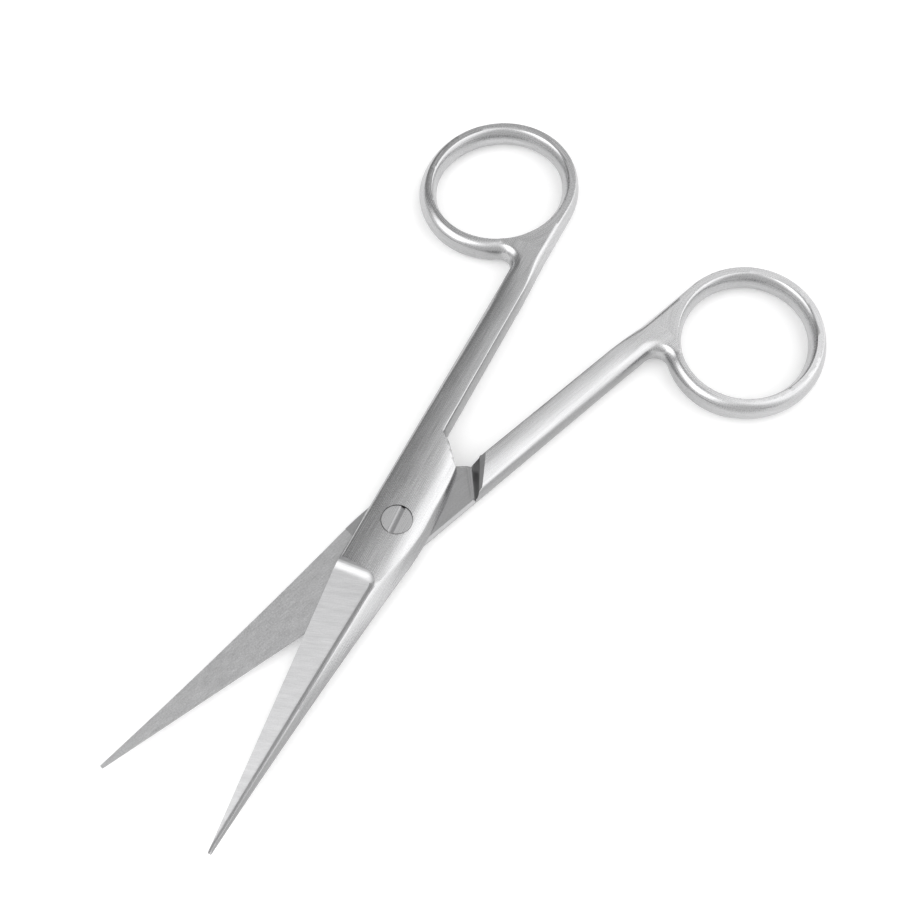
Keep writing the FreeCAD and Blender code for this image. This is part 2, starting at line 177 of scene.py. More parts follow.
crotch_angle = find(above_side, math.radians(180), math.radians(260))
crotch_centre = (on_ellipse(RING_CENTRE, RING_RADII, crotch_angle)
                 + CROTCH_RADIUS * ring_normal(crotch_angle))
print("crotch arc centred at", np.round(crotch_centre, 2), "lowest of ring",
      round(math.degrees(lowest), 1), "crotch", round(math.degrees(crotch_angle), 1))


# %% The chain of sides, anticlockwise from the tip
def back_side():
    """The blade's slightly hollow back, the joint's belly and the plate's corner."""
    tip = np.array((TIP_U, -TIP_HALF))
    root = np.array(BACK_ROOT)
    chord = root - tip
    sag = np.linalg.norm(chord) ** 2 / (8 * BACK_RADIUS)
    hollow = (tip + root) / 2 + (0, sag)
    return np.concatenate([through(tip, hollow, root),
                           through(root, JOINT_BELLY, PLATE_CORNER)])


def grip_side():
    """The shank's inner side, round the ring, through the crotch and back along the shank."""
    sweep = crotch_angle - lowest
    count = round(sweep * RING_RADII[0] / OUTLINE_STEP)
    angles = lowest + sweep * np.arange(1, count) / count
    ring = on_ellipse(RING_CENTRE, RING_RADII, angles)
    ring_touch = on_ellipse(RING_CENTRE, RING_RADII, lowest)
    leave = on_ellipse(RING_CENTRE, RING_RADII, crotch_angle)
    side_touch = (crotch_centre[0], outer_side(crotch_centre[0]))
    toward = (leave + side_touch) / 2 - crotch_centre
    middle = crotch_centre + toward / np.linalg.norm(toward) * CROTCH_RADIUS
    return np.concatenate([straight(PLATE_CROTCH, ring_touch), [ring_touch], ring,
                           through(leave, middle, side_touch),
                           straight(side_touch, CUT_ROOT)])


SIDES = {
    "back": back_side(),
    "plate_end": straight(PLATE_CORNER, PLATE_CROTCH),
    "grip": grip_side(),
    "cutting_edge": straight(CUT_ROOT, (TIP_U, TIP_HALF)),
    "tip": straight((TIP_U, TIP_HALF), (TIP_U, -TIP_HALF)),
}
outline = np.concatenate(list(SIDES.values()))
hole_count = round(2 * math.pi * HOLE_RADII[0] / OUTLINE_STEP)
hole = on_ellipse(HOLE_CENTRE, HOLE_RADII, 2 * math.pi * np.arange(hole_count) / hole_count)
print("outline points", len(outline), "hole points", len(hole))

# %% [markdown]
# ## How wide the edges round over
# A hand-finished forging isn't rounded evenly. The blade's back is a wide bevel that narrows
# to the tip, the shank is softer outside than inside, and the plate's end is nearly sharp. A
# Bevel modifier has one width for all edges, so here the width is a rule along each side.

# %% Width of the rounding along each side
BACK_ROUND_TIP, BACK_ROUND_MORE = 0.28, 2.3
JOINT_ROUND, CORNER_ROUND_LESS = 1.0, 0.5
SHANK_ROUND, SHANK_ROUND_MORE, SHANK_ROUND_INNER = 0.9, 0.75, 0.45
RING_ROUND, RING_ROUND_MORE, RING_FULL_ANGLE = 0.6, 1.05, math.radians(160)
CROTCH_PLACE, CROTCH_SPREAD, CROTCH_ROUND_MORE = (52.9, 5.6), 2.0, 0.3
HOLE_ROUND, HOLE_ROUND_MORE = 1.0, 0.3
CRISP_SIDES = {"plate_end": 0.06, "cutting_edge": 0.25, "tip": 0.2}


def rounding(side, points):
    """Width of the edge rounding at each point of a side."""
    u, v = points[:, 0], points[:, 1]
    if side == "back":
        share = np.clip((u - TIP_U) / (BACK_ROOT[0] - TIP_U), 0, 1)
        blade = BACK_ROUND_TIP + BACK_ROUND_MORE * share
        joint = JOINT_ROUND - CORNER_ROUND_LESS * smooth(u, *INTO_CORNER)
        return blade + (joint - blade) * smooth(u, *INTO_JOINT)
    if side == "grip":
        outer = SHANK_ROUND + SHANK_ROUND_MORE * smooth(u, *ALONG_SHANK)
        shank = np.where(v > SHANK_OUTER / 2, outer, SHANK_ROUND_INNER)
        angle = np.arctan2(v - RING_CENTRE[1], u - RING_CENTRE[0])
        fuller = 0.5 + 0.5 * np.cos(angle - RING_FULL_ANGLE)
        ring = RING_ROUND + RING_ROUND_MORE * fuller ** 1.5
        crotch_u, crotch_v = CROTCH_PLACE
        off = ((u - crotch_u) / CROTCH_SPREAD) ** 2 + ((v - crotch_v) / CROTCH_SPREAD) ** 2
        at_crotch = CROTCH_ROUND_MORE * np.exp(-off)
        return shank + (ring - shank) * smooth(u, *INTO_RING) + at_crotch
    if side == "hole":
        angle = np.arctan2(v - HOLE_CENTRE[1], u - HOLE_CENTRE[0])
        return HOLE_ROUND + HOLE_ROUND_MORE * np.cos(angle)
    return np.full(len(u), CRISP_SIDES[side])


for side, points in SIDES.items():
    widths = rounding(side, points)
    print(f"rounding of {side}: {widths.min():.2f} to {widths.max():.2f} mm")


# %% [markdown]
# ## How far each point is from each side
# Every point of the face is measured against each side: its distance to the chain of short
# segments, divided by the width of the rounding there. 0 is on the outline, 1 is where the
# rounding ends.

# %% Distance to a side, as a share of its rounding
def nearest(points, chain, values, closed=False):
    """Distance from each point to a chain of segments, and the chain's value there."""
    ends = np.roll(chain, -1, 0)
    value_ends = np.roll(values, -1)
    starts, value_starts = chain, values
    if not closed:
        starts, ends = chain[:-1], chain[1:]
        value_starts, value_ends = values[:-1], values[1:]
    run = ends - starts
    length = (run**2).sum(1)
    best = np.full(len(points), 1e9)
    found = np.zeros(len(points))
    for first in range(0, len(points), 1500):
        part = points[first:first + 1500, None, :] - starts[None]
        share = np.clip((part * run).sum(2) / length, 0, 1)
        gap = ((part - share[..., None] * run) ** 2).sum(2)
        pick = gap.argmin(1)
        row = np.arange(len(pick))
        best[first:first + 1500] = np.sqrt(gap[row, pick])
        s = share[row, pick]
        found[first:first + 1500] = value_starts[pick] * (1 - s) + value_ends[pick] * s
    return best, found


def chain_of(side):
    """A side's points with the first point of the next side, so that no stretch is missing."""
    if side == "hole":
        return hole
    names = list(SIDES)
    after = names[(names.index(side) + 1) % len(names)]
    return np.concatenate([SIDES[side], SIDES[after][:1]])


def shares(points):
    """For each side: distance over rounding width, at each point."""
    result = {}
    for side in [*SIDES, "hole"]:
        chain = chain_of(side)
        gap, width = nearest(points, chain, rounding(side, chain), closed=side == "hole")
        result[side] = gap / width
    return result


print("share at the pivot, from the back:", round(float(shares(np.zeros((1, 2)))["back"][0]), 2))


# %% [markdown]
# ## The curve of a section
# Cut across, a forged edge is a superellipse: steep at the side, then rolling over into the
# face. A power near 1 makes a flat bevel, 2 a quarter round, and more a fuller one. Where two
# sides are near, the lower answer wins, so they meet in a mitre.

# %% From share to height
BEVEL_POWER, BEVEL_POWER_MORE = 1.2, 1.0
FULL_POWER, FULL_POWER_LESS = 2.4, 0.9
HOLE_POWER = 1.4


def section_power(side, u):
    """How full the section of a side is at each u."""
    if side == "back":
        return BEVEL_POWER + BEVEL_POWER_MORE * smooth(u, *INTO_CORNER)
    if side == "grip":
        return FULL_POWER - FULL_POWER_LESS * smooth(u, *FULL_RING)
    return HOLE_POWER if side == "hole" else FULL_POWER


def rise(points):
    """0 at the outline, 1 on the face, and the section's curve between them."""
    result = np.ones(len(points))
    for side, share in shares(points).items():
        power = section_power(side, points[:, 0])
        left = 1 - np.clip(share, 0, 1)
        result = np.minimum(result, (1 - left**power) ** (1 / power))
    return result


print("rise 0.2 mm inside the tip:", np.round(rise(np.array([(TIP_U + 0.2, 0.0)])), 2))

# %% [markdown]
# ## The crowned face
# The outer face isn't flat. It falls away slightly to both sides of a highest line, which is
# what draws the soft bands of light along joint and shank, and the blade thins towards its
# tip. A plain extrusion would show one flat grey, so the height is a rule over the plan.

# %% Height of the face
JOINT_CROWN_BACK, JOINT_CROWN_FRONT, SHANK_CROWN = 0.8, 0.55, 0.42
CREST_V, CREST_SHIFT = 0.4, 1.1
CROWN_HALF, CROWN_HALF_LESS = 5.2, 1.5
CROWN_POWER_BACK, CROWN_POWER_FRONT = 3.8, 2.2
BLADE_THINS_FROM, TIP_THICK = -9.0, 0.8
CROWN_THINS, BLADE_NARROWER, BLADE_FLATTER = (8, 50), 0.85, 0.75


def face_height(points):
    """Height of the outer face: thinning along the blade, crowned across joint and shank."""
    u, v = points[:, 0], points[:, 1]
    run = np.clip(BLADE_THINS_FROM - u, 0, None) / (BLADE_THINS_FROM - TIP_U)
    top = THICK - run**2 * (THICK - LAP - TIP_THICK)
    onto_shank = smooth(u, *INTO_SHANK)
    crest = CREST_V + CREST_SHIFT * onto_shank
    half_width = CROWN_HALF - CROWN_HALF_LESS * onto_shank
    blade = smooth(-u, *CROWN_THINS)
    crest, half_width = crest * (1 - blade), half_width * (1 - BLADE_NARROWER * blade)
    joint_crown = np.where(v < crest, JOINT_CROWN_BACK, JOINT_CROWN_FRONT)
    crown = joint_crown + (SHANK_CROWN - joint_crown) * onto_shank
    crown = crown * (1 - BLADE_FLATTER * blade) * (1 - smooth(u, *CROWN_ENDS))
    reach = np.clip(np.abs(v - crest) / half_width, 0, 1.3)
    return top - crown * reach ** np.where(v < crest, CROWN_POWER_BACK, CROWN_POWER_FRONT)


edges_of_joint = np.array([(0.0, -5.0), (0.0, 0.0), (0.0, 5.0)])
print("height across the joint:", np.round(face_height(edges_of_joint), 2))

# %% [markdown]
# ## Where the face needs points
# Points follow each side in rows at fixed shares of its rounding, and an even spread fills
# the open face. Each is later lifted to its height, and mirrored for the lower face.

# %% Points of the face
WALL_STEPS = (0.004, 0.016, 0.04)
FACE_STEPS = (0.08, 0.14, 0.22, 0.32, 0.44, 0.58, 0.74, 0.9, 1.02)


def inward(loop):
    """Unit direction into the metal at each point of an anticlockwise loop."""
    run = np.roll(loop, -1, 0) - np.roll(loop, 1, 0)
    normal = np.stack([-run[:, 1], run[:, 0]], 1)
    return normal / np.linalg.norm(normal, axis=1, keepdims=True)


def loop_rounding():
    """The rounding at each outline point, narrowest where two sides meet."""
    widths = np.concatenate([rounding(side, points) for side, points in SIDES.items()])
    return np.minimum(widths, np.minimum(np.roll(widths, 1), np.roll(widths, -1)))


def inside(points, loop):
    """Whether each point is inside a closed loop."""
    result = np.zeros(len(points), bool)
    x, y = points[:, 0], points[:, 1]
    for (ax, ay), (bx, by) in zip(loop, np.roll(loop, -1, 0)):
        crosses = (ay > y) != (by > y)
        result ^= crosses & (x < (bx - ax) * (y - ay) / (by - ay + 1e-30) + ax)
    return result


def face_points():
    """Plan points of the face inside the wall, without the wall's own."""
    normals = inward(outline)
    kept, start = [], 0
    for side, base in {**SIDES, "hole": hole}.items():
        own = -inward(hole) if side == "hole" else normals[start:start + len(base)]
        start += len(base)
        width = rounding(side, base)
        for step in FACE_STEPS:
            points = base + own * (width * step)[:, None]
            lowest_share = np.minimum.reduce(list(shares(points).values()))
            kept.append(points[(lowest_share > step * 0.93) & (lowest_share < step * 1.07)])
    low, high = outline.min(0), outline.max(0)
    rows = np.arange(low[1], high[1], FACE_STEP * math.sqrt(3) / 2)
    columns = np.arange(low[0], high[0], FACE_STEP)
    grid = np.array([(u + (FACE_STEP / 2 if k % 2 else 0), v)
                     for k, v in enumerate(rows) for u in columns])
    grid = grid[inside(grid, outline) & ~inside(grid, hole)]
    open_face = np.minimum.reduce(list(shares(grid).values())) > 1.12
    kept.append(grid[open_face])
    return np.concatenate(kept)


plan_points = face_points()
print("points of the face:", len(plan_points))

# %% [markdown]
# ## The blank as one closed surface
# Upper face, wall and lower face are one mesh, so that it can be cut like metal. The plan is
# triangulated once for both faces. The wall's rings keep the section's steep part round.

# %% The blank's mesh data
def blank():
    """Vertices and faces of one forged half before its cuts, in its own frame."""
    width = loop_rounding()
    hole_width = rounding("hole", hole)
    rings = []
    for step in (0, *WALL_STEPS):
        rings.append((outline + inward(outline) * (width * step)[:, None],
                      hole - inward(hole) * (hole_width * step)[:, None]))
    rim, hole_rim = rings[-1]
    plan = np.concatenate([rim, hole_rim, plan_points])
    count, hole_start = len(rim), len(rim)
    edges = [(k, (k + 1) % count) for k in range(count)]
    edges += [(hole_start + k, hole_start + (k + 1) % len(hole)) for k in range(len(hole))]
    flat, _, triangles, *_ = delaunay_2d_cdt([Vector(p) for p in plan], edges, [], 1, 1e-6)
    flat = np.array([tuple(p) for p in flat])
    triangles = np.array([t for t in triangles if len(t) == 3])
    centres = flat[triangles].mean(1)
    triangles = triangles[inside(centres, rim) & ~inside(centres, hole_rim)]

    plans = [flat] + [np.concatenate([a, b]) for a, b in rings[:-1]]
    heights = []
    for points in plans:
        lift = rise(points)
        heights.append(MIDDLE + (face_height(points) - MIDDLE) * lift)
    heights[1][:] = MIDDLE
    vertices, faces, offsets = [], [], {}

    def add(name, points, z):
        offsets[name] = sum(len(v) for v in vertices)
        vertices.append(np.column_stack([points, z]))

    add("top", plans[0], heights[0])
    add("bottom", plans[0], THICK - heights[0])
    add("middle", plans[1], heights[1])
    for k in range(2, len(plans)):
        add(f"top{k}", plans[k], heights[k])
        add(f"bottom{k}", plans[k], THICK - heights[k])
    faces += [tuple(t + offsets["top"]) for t in triangles]
    faces += [tuple(t[::-1] + offsets["bottom"]) for t in triangles]

    def strip(lower, upper, first, size, flip):
        for k in range(size):
            a, b = first + k, first + (k + 1) % size
            quad = (lower + a, lower + b, upper + b, upper + a)
            faces.append(quad[::-1] if flip else quad)

    for first, size, flip in ((0, len(outline), False), (len(outline), len(hole), True)):
        for kind in ("top", "bottom"):
            levels = ["middle", *[f"{kind}{k}" for k in range(2, len(plans))], kind]
            for lower, upper in zip(levels, levels[1:]):
                strip(offsets[lower], offsets[upper], first, size, flip != (kind == "bottom"))
    return np.concatenate(vertices), faces


blank_vertices, blank_faces = blank()
print("blank:", len(blank_vertices), "vertices,", len(blank_faces), "faces")

# %% [markdown]
# ## The steels
# Every face is the same stainless steel, but each grinding step leaves its own finish. The
# forged faces are brushed lengthwise, the ground facet crosswise, and the hidden faces of the
# joint are duller and mottled. The brushing follows a map whose first direction runs along
# the strokes, so one recipe serves every face. The near-black of the hole and seat is painted
# shade, and so is the lower tone of upright faces.

# %% Steel finishes
def steel(name, tone, roughness, streaks, mottle, stretch=(2.0, 70.0), relief=3e-6, stroke=0.35):
    """Brushed stainless steel: tone and roughness varied along the strokes, tone lowered by
    painted shade on upright faces.
    """
    material = bpy.data.materials.new(name)
    material.use_nodes = True
    nodes, links = material.node_tree.nodes, material.node_tree.links
    shader = nodes["Principled BSDF"]
    shader.inputs["Metallic"].default_value = 1.0
    shader.inputs["Anisotropic"].default_value = stroke
    shader.inputs["Anisotropic Rotation"].default_value = 0.25
    brush = nodes.new("ShaderNodeUVMap")
    brush.uv_map = "brush"
    tangent = nodes.new("ShaderNodeTangent")
    tangent.direction_type, tangent.uv_map = "UV_MAP", "brush"
    links.new(tangent.outputs["Tangent"], shader.inputs["Tangent"])

    def noise(scale, detail, size=1.0, source=None):
        mapping = nodes.new("ShaderNodeMapping")
        mapping.inputs["Scale"].default_value = (*scale, 1.0)
        texture = nodes.new("ShaderNodeTexNoise")
        texture.inputs["Scale"].default_value = size
        texture.inputs["Detail"].default_value = detail
        links.new(source or brush.outputs["UV"], mapping.inputs["Vector"])
        links.new(mapping.outputs["Vector"], texture.inputs["Vector"])
        return texture.outputs["Fac"]

    def ranged(value, low, high, start=0.3, stop=0.7):
        node = nodes.new("ShaderNodeMapRange")
        for key, number in (("From Min", start), ("From Max", stop), ("To Min", low),
                            ("To Max", high)):
            node.inputs[key].default_value = number
        links.new(value, node.inputs["Value"])
        return node.outputs["Result"]

    def product(first, second):
        node = nodes.new("ShaderNodeMath")
        node.operation = "MULTIPLY"
        links.new(first, node.inputs[0])
        links.new(second, node.inputs[1])
        return node.outputs["Value"]

    place = nodes.new("ShaderNodeTexCoord")
    fine = noise(stretch, 4.0)
    broad = noise((stretch[0] * 0.3, stretch[1] * 0.12), 3.0)
    blotch = noise((4200.0, 4200.0), 3.0, source=place.outputs["Object"])
    # The attribute named side carries a painted shade: how upright a face stands, so that walls
    # come out darker.
    side = nodes.new("ShaderNodeAttribute")
    side.attribute_name = "side"
    tone_factor = product(product(ranged(fine, 1 - streaks, 1 + streaks),
                                  ranged(broad, 1 - streaks * 0.6, 1 + streaks * 0.6)),
                          ranged(blotch, 1 - mottle, 1 + mottle))
    # Painted shade: tone down to half on upright faces, standing in for the darker room they
    # mirror.
    tone_factor = product(tone_factor, ranged(side.outputs["Fac"], 1.0, 0.5, 0.0, 1.0))
    shade = nodes.new("ShaderNodeMix")
    shade.data_type = "RGBA"
    shade.blend_type = "MULTIPLY"
    shade.inputs["Factor"].default_value = 1.0
    shade.inputs["A"].default_value = (tone, tone, tone * 1.01, 1.0)
    links.new(tone_factor, shade.inputs["B"])
    links.new(shade.outputs["Result"], shader.inputs["Base Color"])
    rough = product(ranged(fine, roughness * 0.85, roughness * 1.15),
                    ranged(blotch, 1 - mottle, 1 + mottle))
    links.new(rough, shader.inputs["Roughness"])
    bump = nodes.new("ShaderNodeBump")
    bump.inputs["Strength"].default_value = 0.6
    bump.inputs["Distance"].default_value = relief
    links.new(fine, bump.inputs["Height"])
    links.new(bump.outputs["Normal"], shader.inputs["Normal"])
    return material


FORGED = steel("forged_steel", 0.62, 0.27, streaks=0.10, mottle=0.05, stroke=0.0)
FACET = steel("facet_steel", 0.75, 0.42, streaks=0.08, mottle=0.04, stretch=(4.0, 120.0),
              stroke=0.7)
GROOVE = steel("groove_steel", 0.80, 0.30, streaks=0.05, mottle=0.03, stroke=0.0)
INNER = steel("blade_inner_steel", 0.53, 0.40, streaks=0.08, mottle=0.13, stretch=(5.0, 50.0))
LAPPED = steel("lapped_steel", 0.40, 0.36, streaks=0.06, mottle=0.09)
SHOULDER = steel("shoulder_steel", 0.52, 0.34, streaks=0.05, mottle=0.04)
# Near-black tone: painted shade in the hole and in the gap round the screw head.
BORE = steel("bore_painted_shade", 0.12, 0.40, streaks=0.03, mottle=0.03)
SCREW = steel("turned_steel", 0.60, 0.30, streaks=0.06, mottle=0.03)
print("finishes:", [m.name for m in bpy.data.materials])

# %% [markdown]
# ## Cutting the joint and grinding the blade
# The cuts are made as in the workshop, by taking metal away from the forging: the lap that
# lets the halves cross at half thickness, the leaning end of the joint plate, the screw's
# seat, and the facet that leaves a thin edge. Each cutter hands its own finish to the face
# that it leaves.

# %% A closed solid, and the cut
WIDE, BEYOND_TIP, BELOW, OVER = 9.0, -90.0, -3.0, 1.0
CIRCLE_COUNT = 96


def solid(name, vertices, faces, materials, indices=None):
    """A mesh object in millimetres, with its finishes."""
    mesh = bpy.data.meshes.new(name)
    mesh.from_pydata([tuple(map(float, v)) for v in vertices], [], faces)
    for material in materials:
        mesh.materials.append(material)
    if indices is not None:
        mesh.polygons.foreach_set("material_index", indices)
    mesh.update()
    piece = bpy.data.objects.new(name, mesh)
    bpy.context.scene.collection.objects.link(piece)
    return piece


def stack(name, loops, materials, indices=None):
    """A solid between closed loops of equal count, the first and last capped."""
    size = len(loops[0])
    vertices = np.concatenate(loops)
    faces = [tuple(range(size))[::-1]]
    for k in range(len(loops) - 1):
        lower, upper = k * size, (k + 1) * size
        faces += [(lower + j, lower + (j + 1) % size, upper + (j + 1) % size, upper + j)
                  for j in range(size)]
    faces.append(tuple(range(len(vertices) - size, len(vertices))))
    piece = solid(name, vertices, faces, materials, indices)
    body = bmesh.new()
    body.from_mesh(piece.data)
    if body.calc_volume(signed=True) < 0:
        piece.data.flip_normals()
    body.free()
    return piece


def cut(piece, cutter):
    """Takes the cutter away from a piece; the new faces keep the cutter's finish."""
    change = piece.modifiers.new("cut", "BOOLEAN")
    change.operation, change.solver, change.object = "DIFFERENCE", "EXACT", cutter
    change.material_mode = "TRANSFER"
    bpy.context.view_layer.update()
    result = bpy.data.meshes.new_from_object(
        piece.evaluated_get(bpy.context.evaluated_depsgraph_get()))
    piece.modifiers.clear()
    piece.data = result
    bpy.data.objects.remove(cutter)
    print(piece.name, "after a cut:", len(result.polygons), "faces")


def circle_loop(radius, z):
    """A circle round the pivot axis, at one height."""
    turns = np.linspace(0, 2 * math.pi, CIRCLE_COUNT, endpoint=False)
    circle = np.stack([np.cos(turns), np.sin(turns)], 1)
    return np.column_stack([circle * radius, np.full(CIRCLE_COUNT, z)])


print("cutters reach from", BELOW, "to", THICK + OVER, "mm in height")

# %% [markdown]
# ## Lap, shoulder and plate end
# The lap is half the thickness, so that the halves lie in one plane where they cross. It ends
# in a shoulder that leans and turns a little, with a ramp at its foot and a chamfer at its
# top. The plate's end leans the same way and comes to rest along it when the tips meet.

# %% Cutters of the joint
SHOULDER_FOOT, SHOULDER_TOP = (15.55, -0.753), (18.35, -1.009)
SHOULDER_STEPS = ((-0.45, LAP), (-0.2, LAP), (0.0, LAP - 0.06), (0.14, LAP - 0.2),
                  (0.26, LAP - 0.45), (0.76, 0.66), (1.26, -0.06), (1.26, BELOW))
SHOULDER_FACES = range(3, 9)
PLATE_FOOT, PLATE_TOP = (15.38, 0.753), (17.3, 1.043)
PLATE_OVER, PLATE_BEYOND, PLATE_WIDE = 0.6, 26.0, 6.0
LAP_EDGE_PLACES = (-5.0, 3.0, 12.3)
LAP_EDGE, LAP_EDGE_LEAN = 0.45, 0.9
INNER_ROOT, INNER_STEP = -6.5, 0.06


def across_at(line, v):
    """u at a given v on a line that crosses the shank, given by u at its inner side and slope."""
    start, slope = line
    return start + slope * (v - SHANK_INNER)


def lap_cutter():
    """Everything below the lap plane, up to the shoulder, which leans and twists a little."""
    loops = []
    for v in (WIDE, -WIDE):
        low, high = across_at(SHOULDER_FOOT, v), across_at(SHOULDER_TOP, v)
        loops.append([(BEYOND_TIP, v, BELOW), (BEYOND_TIP, v, LAP)]
                     + [(low + (high - low) * step, v, z) for step, z in SHOULDER_STEPS])
    indices = [0, *[int(j in SHOULDER_FACES) for j in range(len(loops[0]))], 0]
    return stack("lap", loops, [LAPPED, SHOULDER], indices)


def lap_edge_cutter():
    """The broken edge along the lap's outer side, where the halves cross."""
    loops = []
    for u in LAP_EDGE_PLACES:
        v = outer_side(u)
        loops.append([(u, v - LAP_EDGE - 0.5 / LAP_EDGE_LEAN, LAP - 0.5),
                      (u, v + 1.5, LAP - 0.5), (u, v + 0.5, LAP + 0.855)])
    return stack("lap_edge", loops, [SHOULDER])


def inner_cutter():
    """The blade's inner face, ground a little lower than the lap."""
    top = LAP + INNER_STEP
    loops = [[(u, -WIDE, BELOW), (u, WIDE, BELOW), (u, WIDE, top), (u, -WIDE, top)]
             for u in (BEYOND_TIP, INNER_ROOT)]
    return stack("inner", loops, [INNER])


def plate_cutter():
    """The metal beyond the joint plate's leaning end, as far as the shank's inner side."""
    top = THICK + PLATE_OVER
    loops = []
    for v in (-PLATE_WIDE, SHANK_INNER - 0.01):
        low, high = across_at(PLATE_FOOT, v), across_at(PLATE_TOP, v)
        beyond = high + (high - low) * PLATE_OVER / (THICK - LAP)
        loops.append([(PLATE_BEYOND, v, BELOW), (low, v, BELOW), (low, v, LAP),
                      (beyond, v, top), (PLATE_BEYOND, v, top)])
    return stack("plate_end", loops, [SHOULDER])


print("the shoulder leans over by", round(SHOULDER_TOP[0] - SHOULDER_FOOT[0], 2), "mm")

# %% [markdown]
# ## The ground facet
# A grinding wheel leaves a tilted floor that meets the inner face in the cutting edge, and a
# concave wall where the wheel stopped. The cutter is built along the line where floor and wall
# meet. Each of its loops stands a few degrees further up the wheel's round.

# %% Cutter of the facet
FACET_TILT = math.tan(math.radians(12))
FACET_LAND = 0.3
FACET_ROOT = -11.25
FACET_SIDE = ((-12.9, -0.98), (TIP_U, 0.61))
FACET_CORNER, FACET_CORNER_GAP = 0.8, 0.02
FACET_STROKE = math.radians(-74)
FLOOR_INSET = 0.12
WHEEL_ROOT, WHEEL_SIDE_LESS, WHEEL_TIP = 2.0, 1.1, 0.9
WHEEL_TURNS = (0, 8, 17, 27, 38, 50, 63, 78)
GROOVE_FROM, GROOVE_MARGIN = 2, 0.3


def facet_path():
    """The line where the facet's floor meets its wall: the root, a round corner, the side."""
    (side_u, side_v), (end_u, end_v) = FACET_SIDE
    slope = (end_v - side_v) / (end_u - side_u)
    corner_v = side_v + (FACET_ROOT - side_u) * slope
    path = [(FACET_ROOT, v) for v in np.arange(WIDE, corner_v + FACET_CORNER, -0.45)]
    centre = np.array((FACET_ROOT - FACET_CORNER, corner_v + FACET_CORNER + FACET_CORNER_GAP))
    turns = np.radians(np.arange(0, -91, -11.25))
    path += [tuple(centre + FACET_CORNER * np.array((math.cos(a), math.sin(a)))) for a in turns]
    path += [(u, side_v + (u - side_u) * slope)
             for u in np.arange(FACET_ROOT - FACET_CORNER - 0.8, end_u - 3, -0.8)]
    return np.array(path)


def facet_cutter():
    """The ground facet: a tilted floor with a concave run-out at its root and its side."""
    path = facet_path()
    run = np.gradient(path, axis=0)
    out = np.stack([-run[:, 1], run[:, 0]], 1)
    out /= np.linalg.norm(out, axis=1, keepdims=True)
    side_u, end_u = FACET_SIDE[0][0], FACET_SIDE[1][0]
    blend = smooth(-path[:, 1], -0.6, 1.2) * 0.5 + smooth(-path[:, 0], 11.4, 14.5) * 0.5
    side_radius = WHEEL_ROOT - WHEEL_SIDE_LESS * (path[:, 0] - side_u) / (end_u - side_u)
    side_radius = np.clip(side_radius, WHEEL_TIP, WHEEL_ROOT)
    radius = WHEEL_ROOT + (side_radius - WHEEL_ROOT) * blend
    root, tip = np.array(CUT_ROOT), np.array((TIP_U, TIP_HALF))
    along = (tip - root) / np.linalg.norm(tip - root)
    across = np.array((-along[1], along[0]))
    closing = np.array([(path[-1, 0], WIDE)])

    def floor(points):
        return LAP + FACET_LAND + FACET_TILT * ((points - root) @ across)

    def loop(plan, z, end_z):
        return np.column_stack([np.concatenate([plan, closing]), np.append(z, end_z)])

    end_z, top = floor(closing)[0], THICK + OVER
    plan = path - out * FLOOR_INSET
    loops = [loop(plan, floor(plan), end_z)]
    for degrees in WHEEL_TURNS:
        theta = math.radians(degrees)
        plan = path + out * (radius * math.sin(theta))[:, None]
        z = floor(plan) + radius * (1 - math.cos(theta))
        loops.append(loop(plan, z, end_z + 0.001 * degrees))
    lean = math.tan(math.radians(90 - WHEEL_TURNS[-1]))
    plan = plan + out * ((top - z) * lean)[:, None]
    loops.append(loop(plan, np.full(len(plan), top), top))

    on_side = [*(path[:, 0] < FACET_ROOT - GROOVE_MARGIN), False]
    indices = [0, *[int(level >= GROOVE_FROM and grooved)
                    for level in range(len(loops) - 1) for grooved in on_side], 0]
    return stack("facet", loops, [FACET, GROOVE], indices)


print("facet tilt", round(math.degrees(math.atan(FACET_TILT)), 1), "degrees, along",
      len(facet_path()), "places")

# %% [markdown]
# ## The screw's hole and seat
# The plain hole goes through both halves. The seat is only in the upper one, and its edge is
# broken, which shows as a thin light ring round the head. The faces that both cuts leave get a
# near-black tone, painted shade for the narrow gap round the screw.

# %% Cutters of the hole
BORE_RADIUS, SEAT_RADIUS, SEAT_DEPTH, SEAT_RIM = 1.53, 2.57, 1.1, 0.04


def bore_cutter():
    """The screw's plain hole."""
    return stack("bore", [circle_loop(BORE_RADIUS, z) for z in (-OVER, THICK + OVER)], [BORE])


def seat_cutter():
    """The seat of the screw's head, with a broken edge."""
    levels = ((THICK - SEAT_DEPTH, 0), (THICK - SEAT_RIM, 0), (THICK + SEAT_RIM, 2 * SEAT_RIM),
              (THICK + OVER, 2 * SEAT_RIM))
    return stack("seat", [circle_loop(SEAT_RADIUS + grow, z) for z, grow in levels], [BORE])


print("hole", 2 * BORE_RADIUS, "mm wide, seat", 2 * SEAT_RADIUS, "mm wide")

# %% [markdown]
# ## The direction of the strokes
# Brushed steel glints across its strokes, so the map has to know which way each face was
# brushed: lengthwise on blade and shank, round the ring on the ring, and slanting on the
# facet. An unwrapped map would break the strokes at its seams. On the rounded edges the map
# runs on down the side, so the strokes stay lines there too.

# %% A map along the strokes
RING_REACH, RING_FROM_U, RING_FROM_V = 17, 57, 7.5
RING_STROKE_RADIUS = 13
DOWN_SHARE, LEAN_GAIN = 0.9, 2
MAP_SCALE = 0.1


def read(items, name, width=1, kind=float):
    """One property of every item of a mesh, as an array with a row for each."""
    values = np.empty(len(items) * width, kind)
    items.foreach_get(name, values)
    return values.reshape(-1, width) if width > 1 else values


